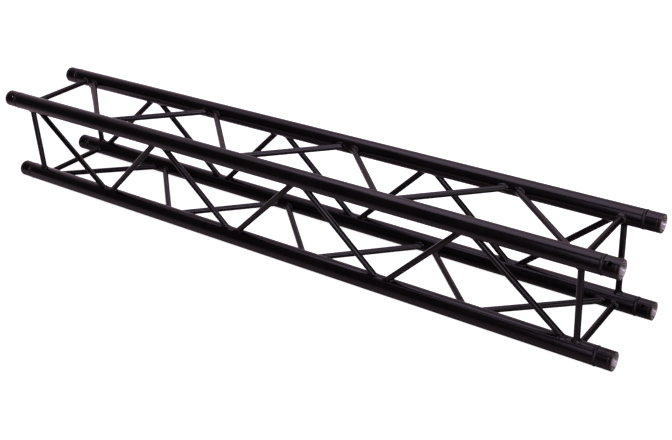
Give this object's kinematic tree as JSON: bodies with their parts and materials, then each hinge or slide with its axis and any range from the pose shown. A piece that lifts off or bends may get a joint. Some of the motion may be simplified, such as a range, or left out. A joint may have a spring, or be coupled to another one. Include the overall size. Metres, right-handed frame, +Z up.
{
  "type": "lighting truss section",
  "caption": "Straight square box truss of four parallel tubes with welded zigzag bracing on every face and conical coupler sockets at the ends.",
  "frame": {"origin": "middle of the truss: halfway along it, on the line midway between the four chords", "axes": "+X along the truss, +Y to its back, +Z up; the front top chord is at -Y +Z"},
  "size_m": [2, 0.288, 0.288],
  "materials": {
    "chord_coating": "satin black powder coat on aluminium tube",
    "brace_coating": "satin black powder coat on aluminium tube",
    "weld_coating": "satin black powder coat over a weld bead",
    "receiver_coating": "satin black powder coat outside, bare turned aluminium in the socket"
  },
  "bodies": {
    "root": {"chord_top_front": "chord_coating", "chord_bottom_front": "chord_coating", "chord_bottom_back": "chord_coating", "chord_top_back": "chord_coating", "receiver_top_front_left": "receiver_coating", "receiver_top_front_right": "receiver_coating", "receiver_bottom_front_left": "receiver_coating", "receiver_bottom_front_right": "receiver_coating", "receiver_bottom_back_left": "receiver_coating", "receiver_bottom_back_right": "receiver_coating", "receiver_top_back_left": "receiver_coating", "receiver_top_back_right": "receiver_coating", "weld_bead_top_front_left": "weld_coating", "weld_bead_top_front_right": "weld_coating", "weld_bead_bottom_front_left": "weld_coating", "weld_bead_bottom_front_right": "weld_coating", "weld_bead_bottom_back_left": "weld_coating", "weld_bead_bottom_back_right": "weld_coating", "weld_bead_top_back_left": "weld_coating", "weld_bead_top_back_right": "weld_coating", "diagonal_front_1": "brace_coating", "diagonal_front_2": "brace_coating", "diagonal_front_3": "brace_coating", "diagonal_front_4": "brace_coating", "diagonal_front_5": "brace_coating", "diagonal_front_6": "brace_coating", "diagonal_front_7": "brace_coating", "end_post_front_left": "brace_coating", "end_post_front_right": "brace_coating", "diagonal_bottom_1": "brace_coating", "diagonal_bottom_2": "brace_coating", "diagonal_bottom_3": "brace_coating", "diagonal_bottom_4": "brace_coating", "diagonal_bottom_5": "brace_coating", "diagonal_bottom_6": "brace_coating", "diagonal_bottom_7": "brace_coating", "end_post_bottom_left": "brace_coating", "end_post_bottom_right": "brace_coating", "diagonal_back_1": "brace_coating", "diagonal_back_2": "brace_coating", "diagonal_back_3": "brace_coating", "diagonal_back_4": "brace_coating", "diagonal_back_5": "brace_coating", "diagonal_back_6": "brace_coating", "diagonal_back_7": "brace_coating", "end_post_back_left": "brace_coating", "end_post_back_right": "brace_coating", "diagonal_top_1": "brace_coating", "diagonal_top_2": "brace_coating", "diagonal_top_3": "brace_coating", "diagonal_top_4": "brace_coating", "diagonal_top_5": "brace_coating", "diagonal_top_6": "brace_coating", "diagonal_top_7": "brace_coating", "end_post_top_left": "brace_coating", "end_post_top_right": "brace_coating"}
  },
  "joints": []
}
